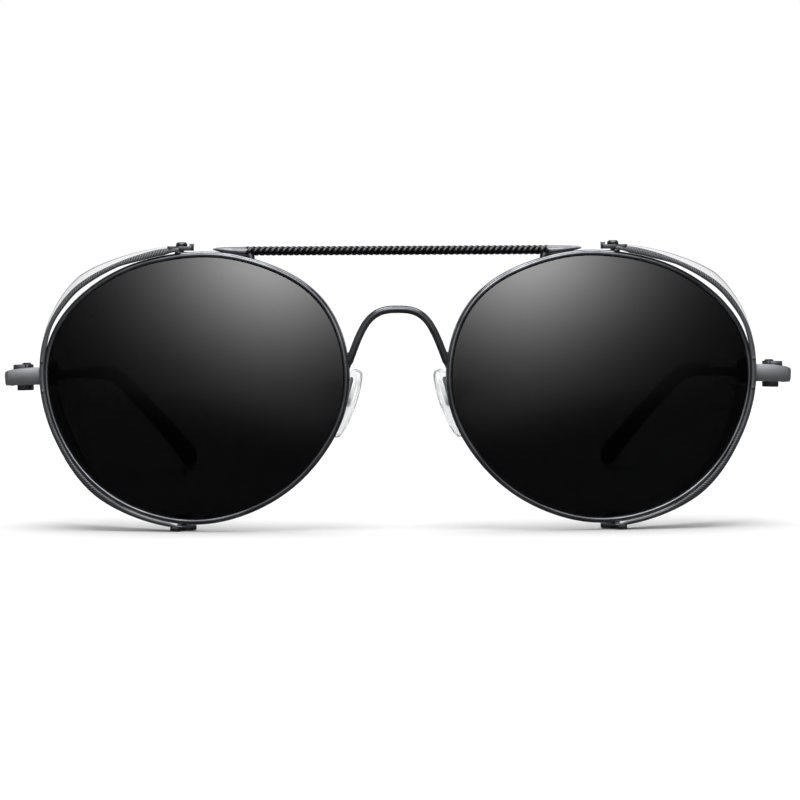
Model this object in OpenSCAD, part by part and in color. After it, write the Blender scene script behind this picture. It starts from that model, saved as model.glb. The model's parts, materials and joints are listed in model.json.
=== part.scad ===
// Round metal sunglasses with a twisted brow bar and swinging side shields.
// Millimetres, +Z up. The front faces -Y and the temples run back along +Y. The glasses stand open on
// the ground: on the lower shield pivots in front and on the temple tips behind. Left is the wearer's
// left, +X. The origin is the middle of the whole footprint, so the front stands at front_y.

/* [Lenses and rims] */
// Distance from the middle of the nose to each lens centre
lens_x = 36.7; // [36:0.05:37.5]
// Height of the lens centres above the ground
lens_z = 26.45; // [26.4:0.01:26.5]
// Radius of the sphere that the lenses lie on
lens_curve = 120; // [110:1:160]
// Turn of each lens round the face
face_wrap = 4; // [3:0.5:5]
// Thickness of a lens
lens_t = 1.6; // [1.4:0.1:1.7]
// Width of the rim wire, seen from the front
rim_w = 0.98; // [0.9:0.01:1.02]
// Depth of the rim wire from front to back
rim_d = 1.9; // [1.8:0.05:2]

/* [Bridge and brow bar] */
// Height of the middle of the bridge wire
bridge_z = 40.75; // [40:0.05:42]
// Diameter of the bridge wire
bridge_wire = 1.4; // [1.2:0.05:1.5]
// Height of the middle of the twisted brow bar
brow_z = 51.5; // [51.4:0.05:51.7]
// Half the length of the twisted part
brow_half = 27.6; // [27:0.1:28]
// Diameter of each of the two twisted strands
strand_d = 0.82; // [0.7:0.01:0.83]
// Distance from the middle of the bar to the middle of a strand
strand_reach = 0.465; // [0.46:0.005:0.5]
// Length of one full turn of the twist
twist_pitch = 2.1; // [1.9:0.05:2.6]

/* [Side shields] */
// Depth of the engraved band from front to back
band_d = 0.6; // [0.5:0.05:0.7]
// Distance by which the band stands out in front of the rim
band_stand = 0.05; // [0.04:0.01:0.1]
// Depth of the shield beside the temple
shield_depth = 15.5; // [12:0.1:16]
// Thickness of the shield's sheet metal
sheet_t = 0.38; // [0.3:0.01:0.4]
// Distance from the middle of the nose to the shield's pivot line
pivot_x = 39.67; // [39.5:0.01:39.8]
// Radius of the pivot screws
pivot_r = 0.45; // [0.4:0.01:0.48]

/* [Temples] */
// Distance from the middle of the nose to the temple hinge
hinge_x = 69.15; // [69.1:0.05:69.2]
// Height of the middle of the temple hinge
hinge_z = 28.3; // [28.25:0.05:28.35]
// Height of the hinge barrel
barrel_h = 4.8; // [4.6:0.1:4.8]
// Radius of the hinge barrel
barrel_r = 1.25; // [1.1:0.05:1.3]
// Radius of the hinge screws
screw_r = 0.45; // [0.4:0.01:0.48]
// Distance behind the front at which the plastic temple tips start
tip_start = 75; // [72:1:80]

/* [Nose pads] */
// Length of a nose pad
pad_l = 13.4; // [12:0.1:14]
// Width of a nose pad
pad_w = 7.2; // [6.5:0.1:7.4]
// Thickness of a nose pad
pad_t = 2.4; // [2:0.1:2.6]
// Lean of the pads, nearer together at the top
pad_lean = 22; // [15:1:25]
// Splay of the pads, wider apart at the back
pad_splay = 25; // [20:1:30]

/* [Hidden] */
$fn = 48;

// Finishes: satin gunmetal for the wire and pressings, blacker for plated screws, smoke for the lenses.
gunmetal = [0.26, 0.26, 0.27];
dark_metal = [0.16, 0.16, 0.17];
screw_metal = [0.2, 0.2, 0.21];
smoke = [0.06, 0.06, 0.07];
black_plastic = [0.05, 0.05, 0.05];
silicone = [0.86, 0.87, 0.88];

// Depths are measured from the mean plane of the rims, before the whole part is moved by front_y.
lens_y = -2.5;
// Radius of the lens outline every 15 degrees, from the nose over the top, the temple side and below.
lens_radii = [
    26.75, 27.03, 27.32, 26.4, 25.27, 24.39, 24.05, 24.16, 24.98, 26.19, 27.57, 28.38,
    28.05, 27.2, 26.52, 25.8, 25.1, 24.53, 24.19, 23.94, 23.94, 24.3, 24.93, 25.83
];
split_angle = 174.6;
split_gap = 0.2;
rim_steps = 68;
groove_w = 0.9;
groove_d = 0.4;
lens_tongue = 0.3;
fit_gap = 0.08;

function total(v) = v * [for (x = v) 1];
function unit(v) = v / norm(v);

// The lens outline is a smooth closed curve through the stated radii: their mean plus nine harmonics.
harmonics = 9;
station = 360 / len(lens_radii);
function wave(k, turn) =
    2 / len(lens_radii) * total([for (i = [0:len(lens_radii) - 1]) lens_radii[i] * cos(k * i * station - turn)]);
waves = [for (k = [1:harmonics]) [wave(k, 0), wave(k, 90)]];
function lens_radius(a) =
    total(lens_radii) / len(lens_radii) + total([for (k = [1:harmonics]) waves[k - 1] * [cos(k * a), sin(k * a)]]);

// Plane of one lens: u outboard and w up from its centre. The angle starts at the nose and goes over the top.
function outline_point(a) = lens_radius(a) * [-cos(a), sin(a)];
function outline_normal(a) = let (t = outline_point(a + 0.5) - outline_point(a - 0.5)) unit([-t[1], t[0]]);
function around(a, n) = outline_point(a) + n * outline_normal(a);

// From the lens plane to the left side of the part: d is the depth behind the curved lens surface.
function eye(p, d) =
    let (back = lens_curve - sqrt(pow(lens_curve, 2) - p * p) + d)
    [
        lens_x + p[0] * cos(face_wrap) - back * sin(face_wrap),
        lens_y + p[0] * sin(face_wrap) + back * cos(face_wrap),
        lens_z + p[1]
    ];

// Smooth curve through a few points.
function curve_at(a, b, c, d, t) =
    0.5 * (2 * b + (c - a) * t + (2 * a - 5 * b + 4 * c - d) * t * t + (3 * b - a - 3 * c + d) * pow(t, 3));
function curve(p, steps) = [
    for (i = [0:len(p) - 2], j = [0:steps - 1])
        curve_at(p[max(i - 1, 0)], p[i], p[i + 1], p[min(i + 2, len(p) - 1)], j / steps),
    p[len(p) - 1]
];
path_steps = 3;
// Value between a few [place, value] pairs.
function between(pairs, x) =
    let (i = max([for (k = [0:len(pairs) - 2]) pairs[k][0] <= x ? k : 0]), a = pairs[i], b = pairs[i + 1])
    a[1] + (b[1] - a[1]) * min(1, max(0, (x - a[0]) / (b[0] - a[0])));

// Cross sections are lists of points, counter-clockwise about the direction of travel.
function round_section(r, sides) = [for (k = [0:sides - 1]) r * [cos(360 * k / sides), sin(360 * k / sides)]];
function bar_section(w, h, c) =
    let (x = w / 2, y = h / 2)
    [[x, c - y], [x, y - c], [x - c, y], [c - x, y], [-x, y - c], [-x, c - y], [c - x, -y], [x - c, -y]];
function oval_section(w, h, sides) = [
    for (k = [0:sides - 1]) let (a = 360 * (k + 0.5) / sides, c = cos(a), s = sin(a))
        [w / 2 * sign(c) * pow(abs(c), 0.85), h / 2 * sign(s) * pow(abs(s), 0.85)]
];
function direction(path, i) = unit(path[min(i + 1, len(path) - 1)] - path[max(i - 1, 0)]);
function ring_at(centre, along, section, upright) =
    let (side = unit(cross(along, upright)), up = cross(along, side))
    [for (s = section) centre + s[0] * side + s[1] * up];

// Skin over rings of equal point counts, closed with caps, or into a loop.
module skin(rings) {
    n = len(rings);
    m = len(rings[0]);
    sides = [
        for (i = [0:n - 2], j = [0:m - 1]) let (a = i * m + j, b = i * m + (j + 1) % m)
            each [[a, b + m, b], [a, a + m, b + m]]
    ];
    cap = [for (i = [0:m / 2 - 2]) each [[i, i + 1, m - 1 - i], [i + 1, m - 2 - i, m - 1 - i]]];
    far_cap = [for (f = cap) [f[2], f[1], f[0]] + (n - 1) * m * [1, 1, 1]];
    polyhedron([for (r = rings) each r], concat(cap, sides, far_cap));
}

// Rims: wire of rounded rectangular section with a groove for the lens edge, split at the temple side.
rim_corner = 0.28;
rim_section = let (r = rim_w, d = rim_d / 2, c = rim_corner, g = groove_w / 2) [
    [0, d], [r - c, d], [r, d - c], [r, c - d], [r - c, -d], [0, -d],
    [0, -g], [groove_d, -g], [groove_d, g], [0, g]
];
module rim() {
    first = split_angle + split_gap / 2;
    skin([
        for (i = [0:rim_steps]) let (a = first + i * (360 - split_gap) / rim_steps)
            [for (s = rim_section) eye(around(a, s[0]), s[1])]
    ]);
}

// Lenses: spherical shells cut to the outline, with a thin tongue round the edge that sits in the rim's groove.
module lens_shell(t, n) {
    intersection() {
        rotate([90, 0, 0])
            linear_extrude(40, center = true)
                polygon([for (i = [0:rim_steps - 1]) around(-i * 360 / rim_steps, n)]);
        translate([0, lens_curve, 0]) difference() {
            sphere(lens_curve + t / 2, $fn = 360);
            sphere(lens_curve - t / 2, $fn = 360);
        }
    }
}
module lens() {
    translate([lens_x, lens_y, lens_z]) rotate([0, 0, face_wrap]) {
        lens_shell(lens_t, -fit_gap);
        lens_shell(groove_w - 0.2, lens_tongue);
    }
}

// Bridge: one arched wire, its legs soldered to the nasal sides of the rims.
bridge_y = -1.2;
bridge_bow = 1.1;
bridge_foot = [9.25, -10.9];
bridge_half = [
    [0, 0], [1.75, -0.08], [3.35, -0.5], [4.75, -1.4], [5.9, -2.75], [7.05, -4.9], [8.15, -7.6], [8.85, -9.5], bridge_foot
];
bridge_sides = 8;
// The wire is drawn thin at its feet, over the last foot_taper, so that it lies beside the lens.
foot_taper = 1.4;
foot_thin = 0.63;
function bridge_point(p, side) =
    [side * p[0], bridge_y - bridge_bow * (1 - pow(p[0] / bridge_foot[0], 2)), bridge_z + p[1]];
function bridge_r(z) =
    bridge_wire / 2 * (1 - foot_thin * max(0, 1 - (z - bridge_z - bridge_foot[1]) / foot_taper));
module bridge() {
    half = curve(bridge_half, path_steps);
    last = len(half) - 1;
    path = [
        for (i = [last:-1:1]) bridge_point(half[i], -1),
        for (p = half) bridge_point(p, 1)
    ];
    color(gunmetal) placed() skin([
        for (i = [0:len(path) - 1])
            ring_at(path[i], direction(path, i), round_section(bridge_r(path[i][2]), bridge_sides), [0, 1, 0])
    ]);
}

// Brow bar: two strands laid round each other, their ends buried in leaf-shaped terminals on the rims.
brow_y = -0.3;
strand_sides = 6;
rings_per_turn = 6;
module strand(start) {
    turns = 2 * brow_half / twist_pitch;
    steps = round(turns * rings_per_turn);
    skin([
        for (i = [0:steps]) let (
            a = start + 360 * turns * i / steps,
            out = [0, cos(a), sin(a)],
            lay = 2 * PI * strand_reach / twist_pitch,
            along = unit([1, -lay * sin(a), lay * cos(a)]),
            centre = [-brow_half + 2 * brow_half * i / steps, brow_y, brow_z] + strand_reach * out
        )
            [for (s = round_section(strand_d / 2, strand_sides)) centre + s[0] * out + s[1] * cross(along, out)]
    ]);
}
module brow_twist() {
    color(gunmetal) placed() {
        strand(0);
        strand(180);
    }
}
terminal_t = 1.5;
module brow_terminal() {
    translate([0, brow_y + terminal_t / 2, 0]) rotate([90, 0, 0]) linear_extrude(terminal_t) {
        polygon([
            [26.3, 50.75], [26.5, 52.1], [27.2, 52.35], [29.5, 52.2], [33.2, 51.95],
            [33.35, 51.75], [33.1, 51.5], [30.5, 51.3], [28.4, 50.85]
        ]);
        polygon([[25.9, 49.6], [26.2, 51.2], [28.6, 51.0], [27.4, 50.3], [27.3, 49.9]]);
    }
}

// End piece: bar soldered to the closing block, running outboard and bending back to the hinge.
end_in = 65.3;
end_y = 3.5;
end_t = 1.5;
end_x = 72.9;
hinge_y = 6.6;
butt_gap = 0.1;
leg_in = 71.3;
bend_r = 0.7;
module end_piece() {
    intersection() {
        linear_extrude(60) offset(bend_r) offset(-bend_r) union() {
            translate([end_in - bend_r, end_y]) square([end_x - end_in + bend_r, end_t]);
            translate([leg_in, end_y]) square([end_x - leg_in, hinge_y - butt_gap - end_y + bend_r]);
        }
        translate([0, hinge_y - butt_gap, 0]) rotate([90, 0, 0]) linear_extrude(hinge_y - butt_gap - end_y) polygon([
            [end_in, 27.05], [72.5, 26.9], [72.75, 27.3], [end_x, 28.8], [72.75, 29.4],
            [72, 29.75], [69.9, 30.05], [67.9, 30.2], [end_in, 30.2]
        ]);
    }
}

bore_gap = 0.05;
// Closing block: two halves behind the rim's split, drawn together by a small upright screw.
block = [[62.9, 3.75], [65.6, 6.4]];
block_screw = [64.1, 5.2];
block_low = 26.8;
block_high = 30.9;
block_mid = 29.1;
block_gap = 0.1;
module closing_half(low, high, bore) {
    size = block[1] - block[0];
    difference() {
        translate([block[0][0], block[0][1], low]) cube([size[0], size[1], high - low]);
        translate([block_screw[0], block_screw[1], low - 1]) cylinder(r = bore, h = high - low + 2);
    }
}
module closing_block() {
    closing_half(block_low, block_mid - block_gap / 2, screw_r);
    closing_half(block_mid + block_gap / 2, block_high, screw_r + bore_gap);
}

pan_side = 0.6;
pan_top = 0.72;
slot_w = 0.26;
// A pan-head screw with a slot, its head's underside at the origin and its shank hanging down.
module slotted_screw(shank_r, shank_l, head_r, head_h) {
    translate([0, 0, -shank_l]) cylinder(r = shank_r, h = shank_l);
    difference() {
        union() {
            cylinder(r = head_r, h = head_h * pan_side);
            translate([0, 0, head_h * pan_side])
                cylinder(r1 = head_r, r2 = head_r * pan_top, h = head_h * (1 - pan_side));
        }
        translate([-head_r - 1, -slot_w / 2, head_h / 2]) cube([2 * head_r + 2, slot_w, head_h]);
    }
}

screw_head_r = 0.85;
module closing_screw() {
    translate([block_screw[0], block_screw[1], block_high]) slotted_screw(screw_r, 3.9, screw_head_r, 0.45);
}

// Temple hinges: two front barrels on the end piece, one between them on the temple, and a screw through all.
barrel_gap = 0.08;
web_end = leg_in + 0.1;
low_web = leg_in - 0.6;
middle_h = 1.9;
barrel_low = hinge_z - barrel_h / 2;
barrel_high = hinge_z + barrel_h / 2;
module barrel(low, high, web) {
    difference() {
        union() {
            translate([hinge_x, hinge_y, low]) cylinder(r = barrel_r, h = high - low);
            translate([web[0][0], web[0][1], low]) cube([web[1][0] - web[0][0], web[1][1] - web[0][1], high - low]);
        }
        translate([hinge_x, hinge_y, low - 1]) cylinder(r = screw_r + bore_gap, h = high - low + 2);
    }
}
module front_hinge() {
    web = [[hinge_x, end_y + end_t - 0.1], [web_end, hinge_y - butt_gap]];
    barrel(barrel_low, hinge_z - middle_h / 2 - barrel_gap, [web[0], [low_web, web[1][1]]]);
    barrel(hinge_z + middle_h / 2 + barrel_gap, barrel_high, web);
}
module temple_hinge() {
    barrel(hinge_z - middle_h / 2, hinge_z + middle_h / 2, [[hinge_x, hinge_y + 0.05], [web_end, hinge_y + middle_h]]);
}

module hinge_screw() {
    translate([hinge_x, hinge_y, barrel_high]) slotted_screw(screw_r, barrel_h, screw_head_r, 0.3);
}

// Temples: a spring-metal arm that thins towards its core wire, and a plastic tip sleeved over that wire.
core_end = 132;
tip_end = 144;
temple_path = curve([
    [71.9, hinge_y, 28.1], [71.8, 12, 28], [70.6, 30, 27.4], [68.4, 55, 26.7], [66.5, tip_start, 26.2],
    [64.9, 92, 25.6], [63.6, 101, 24.3], [61.2, 110, 20.7], [57.4, 121, 14.6], [53.5, core_end, 8.2],
    [51.5, 140, 4.1], [51.1, tip_end, 2.6]
], path_steps);
arm_corner = 0.25;
// The bore's oval is taken this much larger than the core wire, to clear the wire's corners.
bore_room = 0.44;
tip_round = 1.9;
tip_last = len(temple_path) - 1;
tip_first = min([for (i = [0:tip_last]) if (temple_path[i][1] >= tip_start - 0.01) i]);
core_last = max([for (i = [0:tip_last]) if (temple_path[i][1] <= core_end + 0.01) i]);
function arm_w(y) = between([[hinge_y, 1.3], [30, 1.2], [tip_start, 1.1], [core_end, 0.9]], y);
arm_heights = [
    [hinge_y, 2.8], [11, 2.8], [20, 2.5], [30, 2.4], [tip_start, 1.7], [tip_start + 4, 1.2], [core_end, 1]
];
function arm_h(y) = between(arm_heights, y);
function tip_w(y) = between([[tip_start, 2.4], [92, 2.8], [121, 3], [140, 3.5]], y);
function tip_h(y) = between([[tip_start, 2.8], [92, 3.1], [121, 3.7], [140, 4.6]], y);
function temple_ring(i, section) = ring_at(temple_path[i], direction(temple_path, i), section, [0, 0, 1]);
module temple_arm() {
    skin([
        for (i = [0:core_last]) let (y = temple_path[i][1]) temple_ring(i, bar_section(arm_w(y), arm_h(y), arm_corner))
    ]);
}
// The tip's rings run up inside the bore first, then back down the outside to a rounded end.
tip_sides = 10;
end_steps = 4;
function tip_rings() = let (end = temple_path[tip_last], along = direction(temple_path, tip_last)) concat(
    [
        for (i = [core_last:-1:tip_first]) let (y = temple_path[i][1])
            temple_ring(i, oval_section(arm_w(y) + bore_room, arm_h(y) + bore_room, tip_sides))
    ],
    [
        for (i = [tip_first:tip_last]) let (y = temple_path[i][1])
            temple_ring(i, oval_section(tip_w(y), tip_h(y), tip_sides))
    ],
    [
        for (k = [1:end_steps]) let (a = 90 * k / (end_steps + 0.6))
            ring_at(
                end + tip_round * sin(a) * along, along,
                cos(a) * oval_section(tip_w(tip_end), tip_h(tip_end), tip_sides), [0, 0, 1]
            )
    ]
);
module temple_tip() {
    skin(tip_rings());
}

// Side shields: a band round the outer half of each rim, with two pressed wings that leave a slot for the temple.
band_from = 97.5;
band_to = 262.5;
band_step = 7.5;
// Inner and outer edge of the band, outside the lens outline, at every band_step degrees.
band_edges = [
    [1.2, 1.98], [1.35, 2.2], [1.3, 2.17], [1.38, 2.17], [1.45, 2.3], [1.58, 2.55], [1.72, 2.7], [1.53, 2.48],
    [1.38, 2.18], [0.88, 1.85], [0.66, 1.56], [0.6, 1.52], [0.58, 1.5], [0.6, 1.5], [0.56, 1.52], [0.7, 1.68],
    [0.75, 1.88], [0.8, 1.98], [0.82, 1.88], [0.9, 1.76], [1.06, 1.7], [1.18, 1.68], [1.24, 1.68]
];
band_rings = curve(band_edges, 2);
slot_top = 169.3;
slot_bottom = 181.8;
band_corner = 0.12;
wing_steps = 20;
wing_rows = 4;
end_depth = 1.7;
wing_inset = 1.2;
flare_curl = 1.3;
flare_up = 2.1;
flare_from = 92;
flare_run = 48;
flare_down = -1;
flare_level = 250;
flare_ease = 30;
band_back = -rim_d / 2 - band_stand;
band_front = band_back - band_d;
function band_out(a) =
    let (t = (a - band_from) / band_step, i = min(floor(t), len(band_edges) - 2))
    band_edges[i][1] + (band_edges[i + 1][1] - band_edges[i][1]) * (t - i);
function wing_depth(a) = end_depth + (shield_depth - end_depth) * sin(180 * (a - band_from) / (band_to - band_from));
function wing_flare(a) = a < slot_top
    ? flare_up * pow(min(1, max(0, (a - flare_from) / flare_run)), flare_curl)
    : flare_down * min(1, max(0, (flare_level - a) / flare_ease));
module shield_band() {
    skin([
        for (i = [0:len(band_rings) - 1]) let (
            a = band_from + i * band_step / 2,
            near = band_rings[i][0],
            far = band_rings[i][1],
            c = band_corner
        )
            [
                for (s = [
                    [near, band_back], [far, band_back], [far, band_front + c],
                    [far - c, band_front], [near + c, band_front], [near, band_front + c]
                ]) eye(around(a, s[0]), s[1])
            ]
    ]);
}
module wing(from, to) {
    skin([
        for (i = [0:wing_steps]) let (
            a = from + i * (to - from) / wing_steps,
            n = band_out(a) - 0.03
        ) [
            for (k = [0:2 * wing_rows + 1]) let (
                inner = k > wing_rows,
                t = (inner ? k - wing_rows - 1 : wing_rows - k) / wing_rows,
                lean = around(a, n + wing_flare(a) * pow(t, flare_curl) - (inner ? sheet_t : 0)) - around(a, n)
            )
                eye(around(a, n), band_back - 0.2) + [lean[0], t * wing_depth(a), lean[1]]
        ]
    ]);
}
module upper_wing() {
    wing(band_from + wing_inset, slot_top);
}
module lower_wing() {
    wing(slot_bottom, band_to - wing_inset);
}

// Pivots: blocks soldered behind the rims, and the shields' tabs that turn on screws above and below them.
pivot_y = 2.25;
tab_t = 0.8;
top_tab = 51.65;
bottom_tab = 0.2;
tab_gap = 0.07;
tab_nasal = -2.2;
tab_outer = 2.4;
tab_foot = 0.5;
tab_front = -3.2;
tab_half = 1.15;
tab_corner = 0.5;
lug_w = 2.4;
lug_d = 2.1;
top_lug = [49.5, 51.4];
bottom_lug = [1.2, 3.1];
top_shank = 2.4;
pivot_head_r = 1.05;
pivot_head_h = 0.75;
bottom_pin = 2.8;
module lug(low, high) {
    difference() {
        translate([pivot_x - lug_w / 2, pivot_y - lug_d / 2, low]) cube([lug_w, lug_d, high - low]);
        translate([pivot_x, pivot_y, low - 1]) cylinder(r = pivot_r, h = high - low + 2);
    }
}
module shield_lugs() {
    lug(top_lug[0], top_lug[1]);
    lug(bottom_lug[0], bottom_lug[1]);
}
module tab(low) {
    translate([pivot_x, pivot_y, low]) difference() {
        linear_extrude(tab_t) offset(tab_corner) offset(-tab_corner) polygon([
            [tab_nasal, -tab_half], [tab_nasal, tab_half], [tab_outer, tab_half],
            [tab_outer, tab_front], [tab_foot, tab_front], [tab_foot, -tab_half]
        ]);
        translate([0, 0, -1]) cylinder(r = pivot_r + tab_gap, h = tab_t + 2);
    }
}
module shield_tabs() {
    tab(top_tab);
    tab(bottom_tab);
    translate([pivot_x + tab_nasal, pivot_y - 1, top_tab + tab_t - 0.1]) cube([0.7, 2, 0.55]);
}
module shield_screw_pair() {
    translate([pivot_x, pivot_y, top_tab + tab_t]) slotted_screw(pivot_r, top_shank, pivot_head_r, pivot_head_h);
    translate([pivot_x, pivot_y, 0]) cylinder(r = pivot_r, h = bottom_pin);
}

// Nose pads: each rocks on a small cross screw in a box at the end of its wire arm.
pad_place = [9.75, 7.6, 23.1];
rock_x = 2.05;
rock_z = 2.2;
plate_w = 4.2;
plate_l = 5.4;
plate_t = 0.4;
arm_wire = 0.9;
arm_sides = 8;
insert_x = -0.1;
pad_lug_r = 0.7;
pad_screw_r = 0.3;
module pad_frame() {
    translate(pad_place) rotate([0, 0, -pad_splay]) rotate([0, -pad_lean, 0]) children();
}
// A point given in the pad's own frame, where x runs outboard through the pad's back and z along it.
function from_pad(p) =
    let (x = p[0] * cos(pad_lean) - p[2] * sin(pad_lean), z = p[0] * sin(pad_lean) + p[2] * cos(pad_lean))
    pad_place + [x * cos(pad_splay) + p[1] * sin(pad_splay), p[1] * cos(pad_splay) - x * sin(pad_splay), z];
pad_cap = 6;
pad_fill = 0.7;
pad_drop = 0.1;
pad_edge = 0.35;
pad_rings = 11;
pad_sides = 14;
module nose_pad() {
    pad_frame() difference() {
        skin([
            for (i = [0:pad_rings]) let (
                a = pad_cap + (180 - 2 * pad_cap) * i / pad_rings,
                z = -pad_l / 2 * cos(a),
                fill = pow(sin(a), pad_fill),
                drop = 1 + pad_drop * cos(a)
            )
                [
                    for (s = oval_section(pad_t * (pad_edge + (1 - pad_edge) * fill), pad_w * fill * drop, pad_sides))
                        [s[0], -s[1], z]
                ]
        ]);
        insert_plate();
        insert_neck(3);
    }
}
module insert_plate() {
    translate([insert_x, -plate_w / 2, rock_z - plate_l / 2]) cube([plate_t, plate_w, plate_l]);
}
module insert_neck(reach) {
    translate([0.2, -0.5, rock_z - 0.5]) cube([reach - 0.2, 1, 1]);
}
module pad_insert() {
    pad_frame() difference() {
        union() {
            insert_plate();
            insert_neck(rock_x);
            translate([rock_x, 0.5, rock_z]) rotate([90, 0, 0]) cylinder(r = pad_lug_r, h = 1);
        }
        translate([rock_x, 2, rock_z]) rotate([90, 0, 0]) cylinder(r = pad_screw_r + bore_gap, h = 4);
    }
}
module pad_box() {
    pad_frame() translate([0, 0, rock_z]) difference() {
        translate([1.6, -1, -1.3]) cube([1.9, 2, 2.6]);
        translate([1, -0.6, -2]) cube([1.95, 1.2, 4]);
        translate([rock_x, 2, 0]) rotate([90, 0, 0]) cylinder(r = pad_screw_r, h = 4);
    }
}
module pad_screw() {
    pad_frame() translate([rock_x, -1, rock_z]) rotate([90, 0, 0]) slotted_screw(pad_screw_r, 1.9, 0.55, 0.3);
}
module pad_arm() {
    path = curve([
        eye(around(356, 0.5), 0.7), [10.9, 1.2, 24.4], [12.6, 2.6, 25.2], [13.6, 4.2, 26.4], [13.4, 5.5, 27],
        from_pad([4.1, 0, rock_z]), from_pad([3.3, 0, rock_z])
    ], path_steps);
    skin([
        for (i = [0:len(path) - 1])
            ring_at(path[i], direction(path, i), round_section(arm_wire / 2, arm_sides), [0.2, 0.1, 1])
    ]);
}

// The part is centred over its footprint, between the front of the lenses and the back of the tips.
front_face = lens_y - lens_t / 2 - lens_curve * (1 - cos(face_wrap));
tip_back = max([for (r = tip_rings()) each [for (p = r) p[1]]]);
tip_low = min([for (r = tip_rings()) each [for (p = r) p[2]]]);
front_y = -(front_face + tip_back) / 2;
echo(front_y = front_y, depth = tip_back - front_face, tip_low = tip_low);
echo(hinge = [hinge_x, hinge_y + front_y, hinge_z], pivot = [pivot_x, pivot_y + front_y, 0]);
echo(pad = from_pad([rock_x, 0, rock_z]) + [0, front_y, 0], pad_axis = [sin(pad_splay), cos(pad_splay), 0]);

module placed() {
    translate([0, front_y, 0]) children();
}
module on_left(finish) {
    color(finish) placed() children();
}
module on_right(finish) {
    color(finish) placed() mirror([1, 0, 0]) children();
}
module on_both(finish) {
    on_left(finish) children();
    on_right(finish) children();
}

on_left(gunmetal) rim();  // left_rim
on_right(gunmetal) rim();  // right_rim
on_left(smoke) lens();  // left_lens
on_right(smoke) lens();  // right_lens
bridge();
brow_twist();
on_left(gunmetal) brow_terminal();  // left_brow_terminal
on_right(gunmetal) brow_terminal();  // right_brow_terminal
on_left(gunmetal) end_piece();  // left_end_piece
on_right(gunmetal) end_piece();  // right_end_piece
on_left(dark_metal) closing_block();  // left_closing_block
on_right(dark_metal) closing_block();  // right_closing_block
on_left(dark_metal) front_hinge();  // left_front_hinge
on_right(dark_metal) front_hinge();  // right_front_hinge
on_left(dark_metal) shield_lugs();  // left_shield_lugs
on_right(dark_metal) shield_lugs();  // right_shield_lugs
on_left(gunmetal) pad_arm();  // left_pad_arm
on_right(gunmetal) pad_arm();  // right_pad_arm
on_left(dark_metal) pad_box();  // left_pad_box
on_right(dark_metal) pad_box();  // right_pad_box
on_both(screw_metal) closing_screw();  // closing_screws
on_both(screw_metal) hinge_screw();  // hinge_screws
on_both(screw_metal) shield_screw_pair();  // shield_screws
on_both(screw_metal) pad_screw();  // pad_screws
on_left(gunmetal) shield_band();  // left_shield_band
on_left(gunmetal) upper_wing();  // left_upper_wing
on_left(gunmetal) lower_wing();  // left_lower_wing
on_left(dark_metal) shield_tabs();  // left_shield_tabs
on_right(gunmetal) shield_band();  // right_shield_band
on_right(gunmetal) upper_wing();  // right_upper_wing
on_right(gunmetal) lower_wing();  // right_lower_wing
on_right(dark_metal) shield_tabs();  // right_shield_tabs
on_left(gunmetal) temple_arm();  // left_temple_arm
on_left(dark_metal) temple_hinge();  // left_temple_hinge
on_left(black_plastic) temple_tip();  // left_temple_tip
on_right(gunmetal) temple_arm();  // right_temple_arm
on_right(dark_metal) temple_hinge();  // right_temple_hinge
on_right(black_plastic) temple_tip();  // right_temple_tip
on_left(silicone) nose_pad();  // left_nose_pad
on_left(dark_metal) pad_insert();  // left_pad_insert
on_right(silicone) nose_pad();  // right_nose_pad
on_right(dark_metal) pad_insert();  // right_pad_insert
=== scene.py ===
import json
from math import cos, pi, radians, sin, sqrt

import bmesh
import bpy
from bpy.props import FloatProperty, PointerProperty, StringProperty
from mathutils import Matrix, Vector


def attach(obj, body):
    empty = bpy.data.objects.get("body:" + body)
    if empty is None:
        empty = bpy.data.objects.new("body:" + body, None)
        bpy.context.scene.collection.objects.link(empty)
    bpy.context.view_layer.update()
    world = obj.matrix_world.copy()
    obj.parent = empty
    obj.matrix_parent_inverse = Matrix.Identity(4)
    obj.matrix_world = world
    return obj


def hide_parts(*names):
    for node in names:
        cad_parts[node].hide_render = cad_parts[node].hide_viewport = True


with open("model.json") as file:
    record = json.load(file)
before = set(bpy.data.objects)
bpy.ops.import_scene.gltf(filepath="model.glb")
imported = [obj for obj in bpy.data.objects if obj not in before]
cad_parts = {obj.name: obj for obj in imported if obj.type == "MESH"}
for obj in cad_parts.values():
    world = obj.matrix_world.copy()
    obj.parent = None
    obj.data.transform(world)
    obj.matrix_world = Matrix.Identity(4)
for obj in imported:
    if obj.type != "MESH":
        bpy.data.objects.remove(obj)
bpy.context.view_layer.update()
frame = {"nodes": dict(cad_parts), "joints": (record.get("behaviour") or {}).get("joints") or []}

bl_info = {
    "name": "Round Metal Sunglasses",
    "version": (1, 0, 0),
    "blender": (4, 5, 0),
    "location": "View3D > Sidebar > Sunglasses",
    "description": "Dresses the packed frame of round sunglasses with brow bar and side shields",
    "category": "Object",
}

# Sizes below are in mm. The left side is drawn, and the right side is its mirror image.
MM = 0.001
UP = Vector((0, 0, 1))
SIDES = {"left": 1, "right": -1}
JOINTS = {joint["name"]: joint for joint in frame["joints"]}
# The hinge axis lies this far behind the mean plane of the rims, from which all depth is measured.
HINGE_DEPTH = 6.6
FRONT_Y = JOINTS["left_temple_fold"]["pos_m"][1] / MM - HINGE_DEPTH

# Lens outline: its radius every 15 degrees, from the nose over the top, the temple side and below.
LENS_RADII = [26.75, 27.03, 27.32, 26.4, 25.27, 24.39, 24.05, 24.16, 24.98, 26.19, 27.57, 28.38,
              28.05, 27.2, 26.52, 25.8, 25.1, 24.53, 24.19, 23.94, 23.94, 24.3, 24.93, 25.83]
HARMONICS = 9
LENS_X, LENS_Y, LENS_Z = 36.7, -2.5, 26.45
LENS_CURVE = 120
FACE_WRAP = radians(4)
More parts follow.
